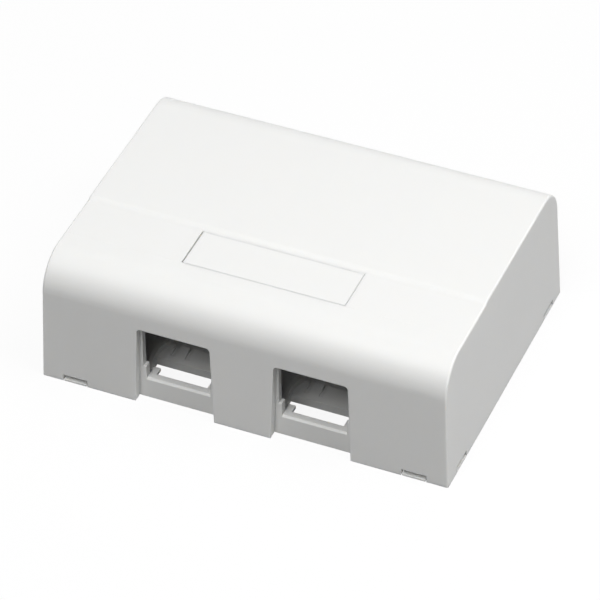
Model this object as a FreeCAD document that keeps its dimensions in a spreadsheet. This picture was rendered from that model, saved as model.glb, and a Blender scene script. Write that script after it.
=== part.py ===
"""Two-port surface mount jack box: a base plate, a snap-on cover and a label insert.

Frame: X across the box, Y from the port side (-Y) to the back, Z up from the wall or desk it is fixed to.
The origin is at the middle of the footprint, on the underside.
"""

import FreeCAD, Part
import os
import re
import Sketcher
from math import radians, tan

Vector = FreeCAD.Vector

# Driving dimensions, in millimetres and degrees. "from front" means from the foot of the cover's front face.
SIZES = {
    # cover shell
    "cover_width": 92.0,
    "cover_depth": 66.0,
    "cover_edge": 0.4,
    "wall": 2.0,
    "draft_angle": 2.2,
    "strip_height": 30.35,
    "front_roll": 8.0,
    "back_roll": 7.0,
    "strip_from_front": 12.5,
    "crease_width": 0.25,
    "crease_depth": 0.03,
    "step_from_front": 23.1,
    "step_run": 1.7,
    "step_rise": 0.45,
    # port notches in the cover's front face
    "port_pitch": 30.8,
    "port_width": 18.0,
    "port_top_width": 16.5,
    "port_height": 19.6,
    "port_corner": 0.9,
    # pry slots round the cover's foot, and the base tabs that show in them
    "pry_width": 5.6,
    "pry_height": 1.6,
    "pry_inset": 7.6,
    "tab_thickness": 0.45,
    "tab_gap": 0.25,
    # jack hold-down ribs under the roof
    "rib_reach": 21.4,
    "rib_spacing": 10.0,
    "rib_from_front": 5.2,
    "rib_length": 12.0,
    "rib_thickness": 1.2,
    # cable break-out scored inside the cover's back wall
    "breakout_width": 16.0,
    "breakout_height": 12.0,
    "score_width": 0.8,
    "score_skin": 0.8,
    # label insert
    "label_width": 36.2,
    "label_thickness": 1.2,
    "label_gap": 0.21,
    "label_edge_gap": 0.06,
    "label_shift": 0.14,
    "label_leg_width": 4.0,
    "label_leg_thickness": 1.2,
    "label_leg_length": 2.6,
    "label_leg_spacing": 28.0,
    "label_leg_gap": 0.12,
    # base
    "fit_gap": 0.15,
    "floor_thickness": 2.0,
    "rim_height": 6.0,
    "rim_wall": 1.4,
    "frame_thickness": 2.0,
    "post_height": 17.8,
    "post_width": 2.0,
    "bay_width": 14.6,
    "bay_upper_width": 16.0,
    "cheek_height": 8.15,
    "sill_height": 5.05,
    "sill_chamfer": 0.4,
    "ledge_width": 1.5,
    "ledge_depth": 2.0,
    "ledge_thickness": 0.75,
    "slot_depth": 7.85,
    "guide_radius": 10.0,
    "guide_wall": 1.0,
    "guide_height": 1.4,
    "guide_from_front": 12.2,
    "guide_sweep": 33.0,
    "rest_width": 15.4,
    "rest_rise": 0.9,
    "rest_length": 4.3,
    "rest_from_window": 0.2,
    "rest_slot_spacing": 3.25,
    "rest_slot_width": 0.9,
    "rest_slot_from_front": 1.2,
    "tie_slot_width": 2.2,
    "tie_slot_length": 5.0,
    "tie_slot_spacing": 17.2,
    "tie_slot_from_front": 20.9,
    "mount_spacing": 60.0,
    "mount_from_front": 44.0,
    "screw_hole": 4.4,
    "screw_head": 8.6,
    "screw_boss_height": 1.0,
    "screw_boss_wall": 1.6,
    "entry_width": 26.0,
    "entry_depth": 14.0,
    "entry_corner": 3.0,
    "entry_from_back": 6.0,
}

doc = FreeCAD.newDocument("surface_mount_jack_box")
sheet = doc.addObject("Spreadsheet::Sheet", "Sizes")
for row, (alias, size) in enumerate(SIZES.items(), start=1):
    sheet.set(f"A{row}", alias)
    sheet.set(f"B{row}", str(size))
    sheet.setAlias(f"B{row}", alias)
doc.recompute()


def named(expression):
    """The expression with every size's name pointed at the sheet."""
    return re.sub("[a-z_]+", lambda word: f"Sizes.{word[0]}" if word[0] in SIZES else word[0], expression)


def value(sketch, expression):
    return float(sketch.evalExpression(named(expression)))


def new_body(label):
    body = doc.addObject("PartDesign::Body", label)
    body.Label = label
    return body


def new_sketch(body, label, role, height=None):
    """A sketch on one of the body's own origin planes, raised by height along that plane's normal."""
    plane = next(feature for feature in body.Origin.OriginFeatures if feature.Role == role)
    sketch = body.newObject("Sketcher::SketchObject", label)
    sketch.AttachmentSupport = (plane, [""])
    sketch.MapMode = "FlatFace"
    if height is not None:
        sketch.setExpression("AttachmentOffset.Base.z", named(height))
    return sketch


def pin(sketch, element, end, across, up):
    """Dimension one point of the sketch from the origin, along both sketch axes."""
    for kind, expression in (("DistanceX", across), ("DistanceY", up)):
        size = value(sketch, expression)
        index = sketch.addConstraint(Sketcher.Constraint(kind, -1, 1, element, end, size))
        sketch.setExpression(f"Constraints[{index}]", named(expression))


def corner(sketch, point):
    return Vector(value(sketch, point[0]), value(sketch, point[1]), 0)


def arrival(point):
    """The end of an element that lies on the point it arrives at: 1 is its start and 2 its end.

    Arcs are kept anticlockwise, so one that runs clockwise arrives at its start.
    """
    if len(point) == 2 or point[3] == 1:
        return 2
    return 1


def draw_path(sketch, points):
    """A closed outline. Each point is (across, up), or (across, up, radius, turn) where an arc arrives.

    turn is 1 for an arc that runs anticlockwise and -1 for one that runs clockwise.
    """
    first = sketch.GeometryCount
    count = len(points)
    for index, point in enumerate(points):
        start, end = corner(sketch, points[index - 1]), corner(sketch, point)
        if len(point) == 2:
            sketch.addGeometry(Part.LineSegment(start, end))
            continue
        radius = value(sketch, point[2])
        half = (end - start).Length / 2
        across = Vector(start.y - end.y, end.x - start.x, 0).normalize() * point[3]
        centre = (start + end) / 2 + across * (radius**2 - half**2) ** 0.5
        middle = centre - across * radius
        sketch.addGeometry(Part.Arc(start, middle, end))
    for index, point in enumerate(points):
        element = first + index
        following = first + (index + 1) % count
        arrives = arrival(point)
        leaves = 3 - arrival(points[(index + 1) % count])
        sketch.addConstraint(Sketcher.Constraint("Coincident", element, arrives, following, leaves))
        pin(sketch, element, arrives, *point[:2])
        if len(point) == 4:
            radius = value(sketch, point[2])
            tied = sketch.addConstraint(Sketcher.Constraint("Radius", element, radius))
            sketch.setExpression(f"Constraints[{tied}]", named(point[2]))


def draw_rectangle(sketch, left, right, bottom, top):
    draw_path(sketch, [(left, bottom), (right, bottom), (right, top), (left, top)])


def draw_circle(sketch, across, up, radius):
    centre = corner(sketch, (across, up))
    size = value(sketch, radius)
    element = sketch.addGeometry(Part.Circle(centre, Vector(0, 0, 1), size))
    pin(sketch, element, 3, across, up)
    tied = sketch.addConstraint(Sketcher.Constraint("Radius", element, size))
    sketch.setExpression(f"Constraints[{tied}]", named(radius))


def draw_rounded_rectangle(sketch, half_width, half_depth, radius, middle="0"):
    """A rectangle with round corners, centred on X = 0 and on Y = middle."""
    left, right = f"-({half_width})", f"({half_width})"
    front, back = f"{middle} - ({half_depth})", f"{middle} + ({half_depth})"
    draw_path(
        sketch,
        [
            (f"{right} - {radius}", front),
            (right, f"{front} + {radius}", radius, 1),
            (right, f"{back} - {radius}"),
            (f"{right} - {radius}", back, radius, 1),
            (f"{left} + {radius}", back),
            (left, f"{back} - {radius}", radius, 1),
            (left, f"{front} + {radius}"),
            (f"{left} + {radius}", front, radius, 1),
        ],
    )


def extrude(body, kind, label, sketch, length=None, backwards=False, both_ways=False):
    """A Pad or a Pocket of the sketch. With no length it is a Pocket through everything, both ways."""
    feature = body.newObject(f"PartDesign::{kind}", label)
    feature.Profile = sketch
    feature.Reversed = backwards
    if length is None:
        feature.Type = "ThroughAll"
        both_ways = True
    else:
        feature.setExpression("Length", named(length))
    if both_ways:
        feature.SideType = "Symmetric"
    doc.recompute()
    return feature


def mirror(body, label, originals):
    """Repeat features on the other side of the YZ plane."""
    plane = next(feature for feature in body.Origin.OriginFeatures if feature.Role == "YZ_Plane")
    feature = body.newObject("PartDesign::Mirrored", label)
    feature.Originals = originals
    feature.MirrorPlane = (plane, [""])
    body.Tip = feature
    doc.recompute()
    return feature


def soften(body, kind, label, base, size, wanted):
    """A Fillet or Chamfer on the edges of base that wanted(edge) picks."""
    edges = [f"Edge{number}" for number, edge in enumerate(base.Shape.Edges, start=1) if wanted(edge)]
    feature = body.newObject(f"PartDesign::{kind}", label)
    feature.Base = (base, edges)
    feature.setExpression("Radius" if kind == "Fillet" else "Size", named(size))
    doc.recompute()
    return feature


# Two lengths that differ by less than this are the same.
CLOSE = 0.001


def along(edge, direction):
    """Whether the edge is straight and runs along direction, whichever way round."""
    return edge.Curve.TypeId == "Part::GeomLine" and abs(edge.Curve.Direction.dot(direction)) > 1 - CLOSE


# Places that several pieces share.
FRONT = "-cover_depth / 2"
BACK = "cover_depth / 2"
TAN = "tan( draft_angle )"
SIN = "sin( draft_angle )"
COS = "cos( draft_angle )"
BAY = "port_pitch / 2"
ROOF = "( strip_height + step_rise )"
FRAME_FRONT = f"{FRONT} + wall + fit_gap"
FRAME_BACK = f"{FRAME_FRONT} + frame_thickness"


def drafted_form(body, profile, inset):
    """A solid with this profile across its width, and sides that lean in by the draft, inset from the cover's."""
    label = body.Label
    profile_sketch = new_sketch(body, f"{label}_profile", "YZ_Plane")
    draw_path(profile_sketch, profile)
    half_width = f"( cover_width / 2 - {inset} / {COS} )"
    extrude(body, "Pad", f"{label}_length", profile_sketch, f"2 * {half_width}", both_ways=True)
    sides_sketch = new_sketch(body, f"{label}_side_wedges", "XZ_Plane")
    above = f"2 * {ROOF}"
    for side in ("-", ""):
        draw_path(
            sides_sketch,
            [
                (f"{side}{half_width}", "0"),
                (f"{side}cover_width", "0"),
                (f"{side}cover_width", above),
                (f"{side}( {half_width} - {above} * {TAN} )", above),
            ],
        )
    return extrude(body, "Pocket", f"{label}_sides", sides_sketch)


def roof_line(inset):
    """The cover's profile, inset all round: front roll, label strip, small step, flat roof, back roll."""
    front_radius, back_radius = f"( front_roll - {inset} )", f"( back_roll - {inset} )"
    front_z, back_z = "( strip_height - front_roll )", f"( {ROOF} - back_roll )"
    front_y = f"( {FRONT} + front_roll * {COS} + ( {front_z} + front_roll * {SIN} ) * {TAN} )"
    back_y = f"( {BACK} - back_roll * {COS} - ( {back_z} + back_roll * {SIN} ) * {TAN} )"
    strip, roof = f"strip_height - {inset}", f"{ROOF} - {inset}"
    step = f"{FRONT} + step_from_front"
    step_radius = "( step_run ^ 2 + step_rise ^ 2 ) / ( 4 * step_rise )"
    return [
        (f"{FRONT} + {inset} / {COS}", "0"),
        (f"{front_y} - {front_radius} * {COS}", f"{front_z} + {front_radius} * {SIN}"),
        (front_y, strip, front_radius, -1),
        (step, strip),
        (f"{step} + step_run / 2", f"{strip} + step_rise / 2", step_radius, 1),
        (f"{step} + step_run", roof, step_radius, -1),
        (back_y, roof),
        (f"{back_y} + {back_radius} * {COS}", f"{back_z} + {back_radius} * {SIN}", back_radius, -1),
        (f"{BACK} - {inset} / {COS}", "0"),
    ]


def ends_a_side(edge):
    """Whether the edge is where one of the cover's drafted sides meets its front, top or back."""
    slope = tan(radians(SIZES["draft_angle"]))
    outside = all(
        abs(abs(point.X) + point.Z * slope - SIZES["cover_width"] / 2) < CLOSE for point in edge.Vertexes
    )
    return outside and edge.CenterOfMass.z > CLOSE and not along(edge, Vector(1, 0, 0))


# Cover: one thin-walled moulding with an open underside, drafted so that it leaves its mould, and with
# a small round all along the outline of each side.
cover = new_body("cover")
cover_form = drafted_form(cover, roof_line("0"), "0")
soften(cover, "Fillet", "cover_edges", cover_form, "cover_edge", ends_a_side)
cavity = new_body("cavity")
drafted_form(cavity, roof_line("wall"), "wall")
hollow = cover.newObject("PartDesign::Boolean", "hollow")
hollow.Type = "Cut"
hollow.setObjects([cavity])
doc.recompute()

# Port notches, open at the foot, with sides that close in upward and round top corners.
port_sketch = new_sketch(cover, "port_outline", "XZ_Plane")
port_lean = "atan( ( port_width - port_top_width ) / ( 2 * port_height ) )"
corner_start = f"( port_corner / tan( 45 deg + {port_lean} / 2 ) )"
side_end = f"( port_top_width / 2 + {corner_start} * sin( {port_lean} ) )"
side_end_height = f"port_height - {corner_start} * cos( {port_lean} )"
draw_path(
    port_sketch,
    [
        (f"{BAY} - port_width / 2", "0"),
        (f"{BAY} + port_width / 2", "0"),
        (f"{BAY} + {side_end}", side_end_height),
        (f"{BAY} + port_top_width / 2 - {corner_start}", "port_height", "port_corner", 1),
        (f"{BAY} - port_top_width / 2 + {corner_start}", "port_height"),
        (f"{BAY} - {side_end}", side_end_height, "port_corner", 1),
    ],
)
right_port = extrude(cover, "Pocket", "right_port", port_sketch, "cover_depth", backwards=True)
mirror(cover, "ports", [right_port])

# Pry slots: a screwdriver goes in here to lift the cover off the base.
front_slots = new_sketch(cover, "pry_slots_front_back", "XZ_Plane")
side_slots = new_sketch(cover, "pry_slots_sides", "YZ_Plane")
for side in ("-", ""):
    for sketch, half in ((front_slots, "cover_width / 2"), (side_slots, "cover_depth / 2")):
        middle = f"{side}( {half} - pry_inset )"
        draw_rectangle(sketch, f"{middle} - pry_width / 2", f"{middle} + pry_width / 2", "0", "pry_height")
extrude(cover, "Pocket", "pry_slots_y", front_slots)
extrude(cover, "Pocket", "pry_slots_x", side_slots)

# Crease: the fine line where the rolled front edge ends and the flat label strip begins, clear of the recess.
crease_sketch = new_sketch(cover, "crease_profile", "YZ_Plane")
crease = f"{FRONT} + strip_from_front - crease_width"
draw_path(
    crease_sketch,
    [
        (f"{crease} - crease_width / 2", "strip_height"),
        (crease, "strip_height - crease_depth"),
        (f"{crease} + crease_width / 2", "strip_height"),
        (crease, "strip_height + crease_width"),
    ],
)
extrude(cover, "Pocket", "crease", crease_sketch)

# Label recess: as deep as the insert, with two slots through its floor for the insert's legs.
LABEL_MIDDLE = f"( {FRONT} + ( strip_from_front + step_from_front ) / 2 )"
LABEL_HALF_DEPTH = "( step_from_front - strip_from_front ) / 2"
recess_sketch = new_sketch(cover, "label_recess_outline", "XY_Plane", "strip_height - label_thickness")
draw_rectangle(
    recess_sketch,
    "-( label_width / 2 + label_gap )",
    "label_width / 2 + label_gap",
    f"{LABEL_MIDDLE} - {LABEL_HALF_DEPTH}",
    f"{LABEL_MIDDLE} + {LABEL_HALF_DEPTH}",
)
extrude(cover, "Pocket", "label_recess", recess_sketch, ROOF, backwards=True)


def draw_legs(sketch, gap):
    """The outlines of the insert's two legs, each grown by gap all round."""
    for side in ("-", ""):
        middle = f"label_shift + {side}label_leg_spacing / 2"
        half_width = f"( label_leg_width / 2 + {gap} )"
        half_depth = f"( label_leg_thickness / 2 + {gap} )"
        draw_rectangle(
            sketch,
            f"{middle} - {half_width}",
            f"{middle} + {half_width}",
            f"{LABEL_MIDDLE} - {half_depth}",
            f"{LABEL_MIDDLE} + {half_depth}",
        )


leg_slot_sketch = new_sketch(cover, "leg_slot_outlines", "XY_Plane", "strip_height")
draw_legs(leg_slot_sketch, "label_leg_gap")
extrude(cover, "Pocket", "leg_slots", leg_slot_sketch, "2 * wall")

# Hold-down ribs: two over each bay, hanging from the roof, that stop a jack from riding up. They end inside
# the thickness of the roof, under the label recess.
rib_sketch = new_sketch(cover, "hold_down_rib_outlines", "XY_Plane", "rib_reach")
for side in ("-", ""):
    middle = f"{BAY} + {side}rib_spacing / 2"
    draw_rectangle(
        rib_sketch,
        f"{middle} - rib_thickness / 2",
        f"{middle} + rib_thickness / 2",
        f"{FRONT} + rib_from_front",
        f"{FRONT} + rib_from_front + rib_length",
    )
rib_top = "strip_height - ( wall + label_thickness ) / 2"
right_ribs = extrude(cover, "Pad", "right_ribs", rib_sketch, f"{rib_top} - rib_reach")
mirror(cover, "hold_down_ribs", [right_ribs])

# Break-out: a groove inside the back wall that leaves a thin skin, so that the middle snaps out for a cable.
score_sketch = new_sketch(cover, "breakout_score", "XZ_Plane")
outer_edge, inner_edge = "( breakout_width / 2 )", "( breakout_width / 2 - score_width )"
draw_path(
    score_sketch,
    [
        (f"-{outer_edge}", "0"),
        (f"-{inner_edge}", "0"),
        (f"-{inner_edge}", "breakout_height - score_width"),
        (inner_edge, "breakout_height - score_width"),
        (inner_edge, "0"),
        (outer_edge, "0"),
        (outer_edge, "breakout_height"),
        (f"-{outer_edge}", "breakout_height"),
    ],
)
score_reach = f"cover_depth / 2 - score_skin - breakout_height * {TAN}"
extrude(cover, "Pocket", "breakout", score_sketch, score_reach)


# Label insert: a plain plate, flush in its recess, with two legs underneath that hold it.
label_insert = new_body("label_insert")
plate_sketch = new_sketch(label_insert, "plate_outline", "XY_Plane", "strip_height - label_thickness")
draw_rectangle(
    plate_sketch,
    "label_shift - label_width / 2",
    "label_shift + label_width / 2",
    f"{LABEL_MIDDLE} - {LABEL_HALF_DEPTH} + label_edge_gap",
    f"{LABEL_MIDDLE} + {LABEL_HALF_DEPTH} - label_edge_gap",
)
extrude(label_insert, "Pad", "plate", plate_sketch, "label_thickness")
leg_sketch = new_sketch(label_insert, "leg_outlines", "XY_Plane", "strip_height - label_thickness / 2")
draw_legs(leg_sketch, "0")
extrude(label_insert, "Pad", "legs", leg_sketch, "label_thickness / 2 + label_leg_length", backwards=True)


# Base: starts as a drafted block that fills the cover's mouth with fit_gap all round, then is cut away.
base = new_body("base")
BASE_INSET = "( wall + fit_gap )"
base_foot, base_top = f"{BASE_INSET} / {COS}", f"( {BASE_INSET} / {COS} + post_height * {TAN} )"
base_profile = [
    (f"{FRONT} + {base_foot}", "0"),
    (f"{BACK} - {base_foot}", "0"),
    (f"{BACK} - {base_top}", "post_height"),
    (f"{FRONT} + {base_top}", "post_height"),
]
drafted_form(base, base_profile, BASE_INSET)

# Behind the port frame only the low rim stays.
step_down_sketch = new_sketch(base, "step_down_profile", "YZ_Plane")
draw_rectangle(step_down_sketch, FRAME_BACK, BACK, "rim_height", "2 * post_height")
extrude(base, "Pocket", "step_down", step_down_sketch)

# Port frame: posts beside each bay, a sill under it, and lower cheeks that centre the jack.
frame_sketch = new_sketch(base, "frame_outline", "XZ_Plane")
OUTER_POST = "( bay_upper_width / 2 + post_width )"
draw_rectangle(frame_sketch, "0", f"{BAY} - {OUTER_POST}", "rim_height", "2 * post_height")
draw_rectangle(frame_sketch, f"{BAY} + {OUTER_POST}", "cover_width / 2", "rim_height", "2 * post_height")
draw_path(
    frame_sketch,
    [
        (f"{BAY} - bay_width / 2", "sill_height"),
        (f"{BAY} + bay_width / 2", "sill_height"),
        (f"{BAY} + bay_width / 2", "cheek_height"),
        (f"{BAY} + bay_upper_width / 2", "cheek_height"),
        (f"{BAY} + bay_upper_width / 2", "2 * post_height"),
        (f"{BAY} - bay_upper_width / 2", "2 * post_height"),
        (f"{BAY} - bay_upper_width / 2", "cheek_height"),
        (f"{BAY} - bay_width / 2", "cheek_height"),
    ],
)
right_frame = extrude(base, "Pocket", "right_frame", frame_sketch, "cover_depth", backwards=True)
mirror(base, "frame", [right_frame])

# Tray: the space behind the frame, down to the floor. The drafted rim is left round it.
tray_sketch = new_sketch(base, "tray_outline", "XY_Plane", "rim_height")
tray_half_width = "( cover_width / 2 - wall - fit_gap - rim_wall )"
tray_back = f"( {BACK} - wall - fit_gap - rim_wall )"
draw_rectangle(tray_sketch, f"-{tray_half_width}", tray_half_width, FRAME_BACK, tray_back)
extrude(base, "Pocket", "tray", tray_sketch, "rim_height - floor_thickness")

# Floor windows: behind each sill, where the jack's latch springs out. Their sides follow the guide walls.
GUIDE_MIDDLE = f"( {FRONT} + guide_from_front )"
INSIDE_GUIDE = "( guide_radius - guide_wall / 2 )"
LEDGE_BACK = f"( {FRAME_BACK} + ledge_depth )"
WINDOW_BACK = f"( {FRAME_BACK} + slot_depth )"


def on_guide(y):
    """How far from the bay's middle the inside of a guide wall is, at y."""
    return f"sqrt( {INSIDE_GUIDE} ^ 2 - ( {y} - {GUIDE_MIDDLE} ) ^ 2 )"


window_sketch = new_sketch(base, "window_outline", "XY_Plane")
draw_path(
    window_sketch,
    [
        (f"{BAY} - {on_guide(LEDGE_BACK)}", FRAME_BACK),
        (f"{BAY} + {on_guide(LEDGE_BACK)}", FRAME_BACK),
        (f"{BAY} + {on_guide(LEDGE_BACK)}", LEDGE_BACK),
        (f"{BAY} + {on_guide(WINDOW_BACK)}", WINDOW_BACK, INSIDE_GUIDE, 1),
        (f"{BAY} - {on_guide(WINDOW_BACK)}", WINDOW_BACK),
        (f"{BAY} - {on_guide(LEDGE_BACK)}", LEDGE_BACK, INSIDE_GUIDE, 1),
    ],
)
right_window = extrude(base, "Pocket", "right_window", window_sketch, "floor_thickness", backwards=True)

# Ledges: thin corners at the ends of the sill's back edge, level with its top, that the jack's foot turns on.
ledge_sketch = new_sketch(base, "ledge_outlines", "XY_Plane", "sill_height - ledge_thickness")
for side in ("-", ""):
    edges = (f"{BAY} + {side}( bay_width / 2 - ledge_width )", f"{BAY} + {side}bay_width / 2")
    draw_rectangle(ledge_sketch, *edges, FRAME_BACK, LEDGE_BACK)
right_ledges = extrude(base, "Pad", "right_ledges", ledge_sketch, "ledge_thickness")

# Guide walls: low arcs each side of the bay that turn the cable towards the ties.
guide_sketch = new_sketch(base, "guide_outlines", "XY_Plane")
OUTSIDE_GUIDE = "( guide_radius + guide_wall / 2 )"
reach, rise = "cos( guide_sweep )", "sin( guide_sweep )"
for side, turn in (("", 1), ("-", -1)):
    draw_path(
        guide_sketch,
        [
            (f"{BAY} + {side}{OUTSIDE_GUIDE} * {reach}", f"{GUIDE_MIDDLE} - {OUTSIDE_GUIDE} * {rise}"),
            (
                f"{BAY} + {side}{OUTSIDE_GUIDE} * {reach}",
                f"{GUIDE_MIDDLE} + {OUTSIDE_GUIDE} * {rise}",
                OUTSIDE_GUIDE,
                turn,
            ),
            (f"{BAY} + {side}{INSIDE_GUIDE} * {reach}", f"{GUIDE_MIDDLE} + {INSIDE_GUIDE} * {rise}"),
            (
                f"{BAY} + {side}{INSIDE_GUIDE} * {reach}",
                f"{GUIDE_MIDDLE} - {INSIDE_GUIDE} * {rise}",
                INSIDE_GUIDE,
                -turn,
            ),
        ],
    )
right_guides = extrude(base, "Pad", "right_guides", guide_sketch, "floor_thickness + guide_height")

# Rest: a low wedge behind each window that carries the back of the jack, with four slots for its legs.
rest_sketch = new_sketch(base, "rest_profile", "YZ_Plane", f"{BAY} - rest_width / 2")
REST_FRONT = f"( {WINDOW_BACK} + rest_from_window )"
REST_BACK = f"( {REST_FRONT} + rest_length )"
draw_path(
    rest_sketch,
    [
        (REST_FRONT, "floor_thickness / 2"),
        (REST_BACK, "floor_thickness / 2"),
        (REST_BACK, "floor_thickness + rest_rise"),
        (REST_FRONT, "floor_thickness"),
    ],
)
right_rest = extrude(base, "Pad", "right_rest", rest_sketch, "rest_width")
rest_slot_sketch = new_sketch(base, "rest_slot_outlines", "XY_Plane", "floor_thickness")
for place in ("-2", "-1", "1", "2"):
    middle = f"{BAY} + {place} * rest_slot_spacing"
    draw_rectangle(
        rest_slot_sketch,
        f"{middle} - rest_slot_width / 2",
        f"{middle} + rest_slot_width / 2",
        f"{REST_FRONT} + rest_slot_from_front",
        REST_BACK,
    )
right_slots = extrude(base, "Pocket", "right_rest_slots", rest_slot_sketch, "2 * rest_rise", backwards=True)

# Tie slots: a pair behind each bay, so that a cable tie can loop under the floor.
tie_sketch = new_sketch(base, "tie_slot_outlines", "XY_Plane")
for side in ("-", ""):
    middle = f"{BAY} + {side}tie_slot_spacing / 2"
    draw_rectangle(
        tie_sketch,
        f"{middle} - tie_slot_width / 2",
        f"{middle} + tie_slot_width / 2",
        f"{FRONT} + tie_slot_from_front",
        f"{FRONT} + tie_slot_from_front + tie_slot_length",
    )
right_ties = extrude(base, "Pocket", "right_ties", tie_sketch, "floor_thickness", backwards=True)

# Screw bosses and holes: one each side of the cable entry.
boss_sketch = new_sketch(base, "boss_outline", "XY_Plane")
SCREW = ("mount_spacing / 2", f"{FRONT} + mount_from_front")
draw_circle(boss_sketch, *SCREW, "screw_head / 2 + screw_boss_wall")
right_boss = extrude(base, "Pad", "right_boss", boss_sketch, "floor_thickness + screw_boss_height")
head_sketch = new_sketch(base, "screw_head_outline", "XY_Plane", "floor_thickness")
draw_circle(head_sketch, *SCREW, "screw_head / 2")
right_head = extrude(base, "Pocket", "right_head", head_sketch, "screw_boss_height", backwards=True)
screw_sketch = new_sketch(base, "screw_hole_outline", "XY_Plane")
draw_circle(screw_sketch, *SCREW, "screw_hole / 2")
right_screw = extrude(base, "Pocket", "right_screw", screw_sketch, "floor_thickness", backwards=True)

# Tabs: thin tongues of the floor that reach through the pry slots, flush with the cover's outside.
tab_sketch = new_sketch(base, "tab_outlines", "XY_Plane")
TAB_HALF = "( pry_width / 2 - tab_gap )"
TAB_X, TAB_Y = "( cover_width / 2 - pry_inset )", "( cover_depth / 2 - pry_inset )"
for side in ("-", ""):
    draw_rectangle(
        tab_sketch,
        f"{TAB_X} - {TAB_HALF}",
        f"{TAB_X} + {TAB_HALF}",
        f"{side}( cover_depth / 2 - wall - rim_wall )",
        f"{side}( cover_depth / 2 - tab_thickness * {TAN} )",
    )
    middle = f"{side}{TAB_Y}"
    draw_rectangle(
        tab_sketch,
        "cover_width / 2 - wall - rim_wall",
        f"cover_width / 2 - tab_thickness * {TAN}",
        f"{middle} - {TAB_HALF}",
        f"{middle} + {TAB_HALF}",
    )
right_tabs = extrude(base, "Pad", "right_tabs", tab_sketch, "tab_thickness")
right_side = [right_window, right_ledges, right_guides, right_rest, right_slots, right_ties]
right_side += [right_boss, right_head, right_screw, right_tabs]
mirror(base, "left_side", right_side)

# Cable entry: the hole in the floor over the cable that comes out of the wall.
entry_sketch = new_sketch(base, "entry_outline", "XY_Plane")
entry_middle = f"( {BACK} - entry_from_back - entry_depth / 2 )"
draw_rounded_rectangle(entry_sketch, "entry_width / 2", "( entry_depth / 2 )", "entry_corner", entry_middle)
extrude(base, "Pocket", "entry", entry_sketch, "floor_thickness", backwards=True)

# The rim is open behind the break-out, so that the cable lies on the floor.
gap_sketch = new_sketch(base, "rim_gap_outline", "XZ_Plane")
draw_rectangle(gap_sketch, "-breakout_width / 2", "breakout_width / 2", "floor_thickness", "2 * rim_height")
extrude(base, "Pocket", "rim_gap", gap_sketch, "cover_depth")

# Sill chamfer: a lead-in for the jack along each sill's front edge.
soften(
    base,
    "Chamfer",
    "sill_leads",
    base.Tip,
    "sill_chamfer",
    lambda edge: along(edge, Vector(1, 0, 0))
    and abs(edge.CenterOfMass.z - SIZES["sill_height"]) < CLOSE
    and edge.CenterOfMass.y < -SIZES["cover_depth"] / 2 + SIZES["wall"] + SIZES["frame_thickness"],
)

doc.recompute()
for item in doc.Objects:
    if {"Invalid", "Error"} & set(item.State):
        raise RuntimeError(f"{item.Label} failed: {item.State}")
os.makedirs("parts", exist_ok=True)
for body in (base, cover, label_insert):
    shape = body.Shape
    if shape.isNull() or not shape.isValid() or len(shape.Solids) != 1:
        raise RuntimeError(f"{body.Label} is not one valid solid")
    shape.exportStep(f"parts/{body.Label}.step")
    print(f"{body.Label}: {shape.Volume / 1000:.2f} cm3, {len(shape.Faces)} faces")
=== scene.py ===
"""Looks of a two-port surface mount jack box: three white plastic mouldings on a pale studio floor."""

from math import cos, radians, sin, sqrt

import bmesh
import bpy
from mathutils import Matrix, Vector

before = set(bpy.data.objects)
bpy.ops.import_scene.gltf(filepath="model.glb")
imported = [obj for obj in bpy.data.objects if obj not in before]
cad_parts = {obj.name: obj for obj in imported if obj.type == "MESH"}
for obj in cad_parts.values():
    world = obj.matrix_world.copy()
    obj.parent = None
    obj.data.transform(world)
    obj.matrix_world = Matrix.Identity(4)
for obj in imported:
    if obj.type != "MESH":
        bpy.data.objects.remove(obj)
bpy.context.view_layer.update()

# Base. One injection moulding in white ABS: floor plate, rim, and the port frame that seats the jacks. It is
# screwed or taped to a wall, and its face is duller than the cover's, because the cover hides most of it.
MM = 0.001


class Amount:
    """A number that varies over a surface. Its sums, differences and products are the shader's Math nodes."""

    def __init__(self, finish, socket):
        self.finish = finish
        self.socket = socket

    def combined(self, operation, first, second):
        """The outcome of one Math node on two amounts or numbers."""
        maths = self.finish.node("ShaderNodeMath", {"operation": operation}, {0: first, 1: second})
        return Amount(self.finish, maths.outputs["Value"])

    def __add__(self, other):
        return self.combined("ADD", self, other)

    __radd__ = __add__

    def __sub__(self, other):
        return self.combined("SUBTRACT", self, other)

    def __rsub__(self, other):
        return self.combined("SUBTRACT", other, self)

    def __mul__(self, other):
        return self.combined("MULTIPLY", self, other)

    __rmul__ = __mul__


class Finish:
    """The shader tree of a material, or of the room, filled node by node."""

    def __init__(self, owner):
        owner.use_nodes = True
        self.tree = owner.node_tree
        self.tree.nodes.clear()

    def node(self, kind, settings=None, inputs=None):
        """A node of this kind: its settings come first, then the values or links of its sockets."""
        made = self.tree.nodes.new(kind)
        for setting, choice in (settings or {}).items():
            setattr(made, setting, choice)
        for socket, given in (inputs or {}).items():
            if isinstance(given, Amount):
                given = given.socket
            if isinstance(given, bpy.types.NodeSocket):
                self.tree.links.new(given, made.inputs[socket])
            else:
                made.inputs[socket].default_value = given
        return made

    def noise(self, grain, detail):
        """Noise from 0 to 1, whose grains are this many metres across."""
        place = self.node("ShaderNodeTexCoord").outputs["Object"]
        sockets = {"Vector": place, "Scale": 1 / grain, "Detail": detail}
        noise = self.node("ShaderNodeTexNoise", inputs=sockets)
        return Amount(self, noise.outputs["Fac"])

    def tint(self, share, first, second):
        """A colour that is the first one where the share is 0, and the second where it is 1."""
        # A Mix node has an A, a B and a Result for each kind of data. These are the places of the colours.
        colour_a, colour_b, colour_result = 6, 7, 2
        mix = self.node(
            "ShaderNodeMix",
            {"data_type": "RGBA"},
            {"Factor": share, colour_a: (*first, 1), colour_b: (*second, 1)},
        )
        return mix.outputs[colour_result]


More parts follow.
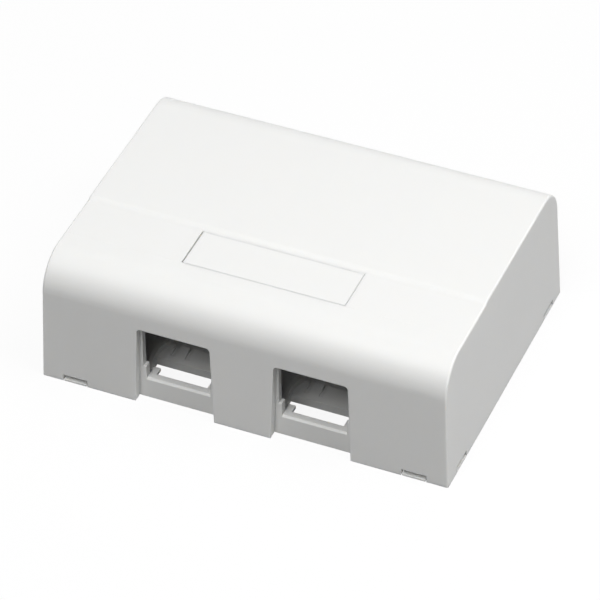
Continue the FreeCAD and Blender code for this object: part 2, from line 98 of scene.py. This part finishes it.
def moulded_plastic(name, colour, cool_colour, roughness, grain, grain_depth, edge, soak):
    """White ABS off a spark-eroded mould.

    It has a fine grain, slow drifts of tone and sheen, and rounded edges, and light soaks a little way in.
    """
    drift_size, haze_size = 22 * MM, 3.5 * MM
    drift_in_tone, haze_in_tone = 0.7, 0.3
    drift_in_sheen, haze_in_sheen = 0.08, 0.10
    haze_in_relief = 0.6
    noise_mean = 0.5

    material = bpy.data.materials.new(name)
    plastic = Finish(material)
    drift = plastic.noise(drift_size, detail=2)
    haze = plastic.noise(haze_size, detail=3)
    fine = plastic.noise(grain, detail=2)
    coolness = drift * drift_in_tone + haze * haze_in_tone
    haze_sheen = (haze - noise_mean) * haze_in_sheen
    drift_sheen = (drift - noise_mean) * drift_in_sheen
    edge_round = plastic.node("ShaderNodeBevel", {"samples": 6}, {"Radius": edge})
    bump = plastic.node(
        "ShaderNodeBump",
        inputs={
            "Strength": 0.6,
            "Distance": grain_depth,
            "Height": fine + haze * haze_in_relief,
            "Normal": edge_round.outputs["Normal"],
        },
    )
    shader = plastic.node(
        "ShaderNodeBsdfPrincipled",
        inputs={
            "Base Color": plastic.tint(coolness, colour, cool_colour),
            "Roughness": roughness + haze_sheen + drift_sheen,
            "Normal": bump.outputs["Normal"],
            "IOR": 1.53,
            "Subsurface Weight": 1.0,
            "Subsurface Radius": (1.0, 0.97, 0.92),
            "Subsurface Scale": soak,
        },
    )
    plastic.node("ShaderNodeOutputMaterial", inputs={"Surface": shader.outputs["BSDF"]})
    return material


def finish_node(name, material):
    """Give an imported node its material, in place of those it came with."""
    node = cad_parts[name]
    node.data.materials.clear()
    node.data.materials.append(material)


finish_node(
    "base",
    moulded_plastic(
        "base_abs",
        colour=(0.800, 0.800, 0.785),
        cool_colour=(0.785, 0.788, 0.780),
        roughness=0.50,
        grain=0.30 * MM,
        grain_depth=0.012 * MM,
        edge=0.12 * MM,
        soak=0.25 * MM,
    ),
)

# Cover. A thin shell of the same ABS off a finely grained mould: satin, with a soft sheen on its two rolls.
# It drops over the base, snaps on, and is pried off at the slots in its lower edge.
finish_node(
    "cover",
    moulded_plastic(
        "cover_abs",
        colour=(0.815, 0.815, 0.800),
        cool_colour=(0.802, 0.805, 0.797),
        roughness=0.42,
        grain=0.26 * MM,
        grain_depth=0.010 * MM,
        edge=0.08 * MM,
        soak=0.8 * MM,
    ),
)

# Label insert. A small flat plate of the same ABS, a shade smoother than the cover. It pushes into the
# recess in the cover's roof on two legs, and its face is left bare.
finish_node(
    "label_insert",
    moulded_plastic(
        "label_abs",
        colour=(0.815, 0.815, 0.800),
        cool_colour=(0.804, 0.807, 0.799),
        roughness=0.40,
        grain=0.26 * MM,
        grain_depth=0.008 * MM,
        edge=0.04 * MM,
        soak=0.5 * MM,
    ),
)

# Floor. A sheet of white studio paper, laid flat and far past the camera's view. It takes the object's
# shadow and reads as plain white where nothing shades it, but it throws little light back up at the object.
sheet_size = 6.0
floor_mesh = bpy.data.meshes.new("floor")
sheet = bmesh.new()
bmesh.ops.create_grid(sheet, x_segments=1, y_segments=1, size=sheet_size / 2)
sheet.to_mesh(floor_mesh)
sheet.free()
floor = bpy.data.objects.new("floor", floor_mesh)
bpy.context.scene.collection.objects.link(floor)


def looked_at(finish):
    """1 where the lens, a gloss or a clear part looks straight at it, and 0 where it only sheds light."""
    path = finish.node("ShaderNodeLightPath").outputs
    straight = Amount(finish, path["Is Camera Ray"]) + Amount(finish, path["Is Glossy Ray"])
    return straight + Amount(finish, path["Is Transmission Ray"])


sheet_colour = (0.90, 0.90, 0.90)
bounce_colour = (0.30, 0.30, 0.30)
sheet_glow = 0.90
sheet_roughness, fleck_roughness = 0.8, 0.1
fleck_size = 4 * MM
plain_white = (1, 1, 1, 1)
paper_material = bpy.data.materials.new("floor_paper")
floor.data.materials.append(paper_material)
paper = Finish(paper_material)
straight = looked_at(paper)
fleck = paper.noise(fleck_size, detail=2)
matt = paper.node(
    "ShaderNodeBsdfPrincipled",
    inputs={
        "Base Color": paper.tint(straight, bounce_colour, sheet_colour),
        "Roughness": sheet_roughness + fleck * fleck_roughness,
        "Specular IOR Level": 0.1,
    },
)
glow = paper.node("ShaderNodeEmission", inputs={"Color": plain_white, "Strength": 1})
blend = paper.node(
    "ShaderNodeMixShader",
    inputs={0: straight * sheet_glow, 1: matt.outputs["BSDF"], 2: glow.outputs["Emission"]},
)
paper.node("ShaderNodeOutputMaterial", inputs={"Surface": blend.outputs["Shader"]})

# Studio. Large soft boxes hang overhead, to the right and in front, two weak ones fill from behind, and the
# room is dim. Gloss and the lens see it white.
room_light = 0.05
world = bpy.data.worlds.new("studio")
bpy.context.scene.world = world
room = Finish(world)
dim = room.node("ShaderNodeBackground", inputs={"Color": plain_white, "Strength": room_light})
bright = room.node("ShaderNodeBackground", inputs={"Color": plain_white, "Strength": 1})
walls = room.node(
    "ShaderNodeMixShader",
    inputs={0: looked_at(room), 1: dim.outputs["Background"], 2: bright.outputs["Background"]},
)
room.node("ShaderNodeOutputWorld", inputs={"Surface": walls.outputs["Shader"]})


def soft_box(name, right, front, power):
    """A square lamp that faces the object, these degrees from overhead to the right and to the front."""
    lamp_size, lamp_distance, object_middle = 0.5, 1.0, 15 * MM
    across, forward = sin(radians(right)), -sin(radians(front))
    towards = Vector((across, forward, sqrt(1 - across**2 - forward**2)))
    lamp = bpy.data.lights.new(name, "AREA")
    lamp.shape = "SQUARE"
    lamp.size = lamp_size
    lamp.energy = power
    hung = bpy.data.objects.new(name, lamp)
    bpy.context.scene.collection.objects.link(hung)
    hung.location = towards * lamp_distance + Vector((0, 0, object_middle))
    hung.rotation_euler = (-towards).to_track_quat("-Z", "Y").to_euler()


soft_box("right_high", right=30, front=0, power=3.63)
soft_box("right_low", right=68, front=0, power=1.86)
soft_box("front_high", right=0, front=35, power=4.25)
soft_box("overhead", right=0, front=14, power=2.45)
soft_box("back_high", right=0, front=-30, power=1.34)
soft_box("back_low", right=0, front=-72, power=0.77)

# Camera. A long lens, about 0.85 m from the object, that looks down on the port side from the right. It is
# tipped by about a degree.
azimuth, elevation, roll = radians(24.02), radians(41.25), radians(-1.345)
aim = Vector((1.97, -6.32, 15.0)) * MM
distance = 845.1 * MM
away = Vector((sin(azimuth) * cos(elevation), -cos(azimuth) * cos(elevation), sin(elevation)))
lens = bpy.data.cameras.new("camera")
lens.sensor_width = 36.0
lens.lens = 241.74
camera = bpy.data.objects.new("camera", lens)
bpy.context.scene.collection.objects.link(camera)
level = (-away).to_track_quat("-Z", "Y").to_matrix().to_4x4()
camera.matrix_world = Matrix.Translation(aim + away * distance) @ level @ Matrix.Rotation(roll, 4, "Z")
bpy.context.scene.camera = camera
bpy.context.scene.view_settings.view_transform = "Standard"
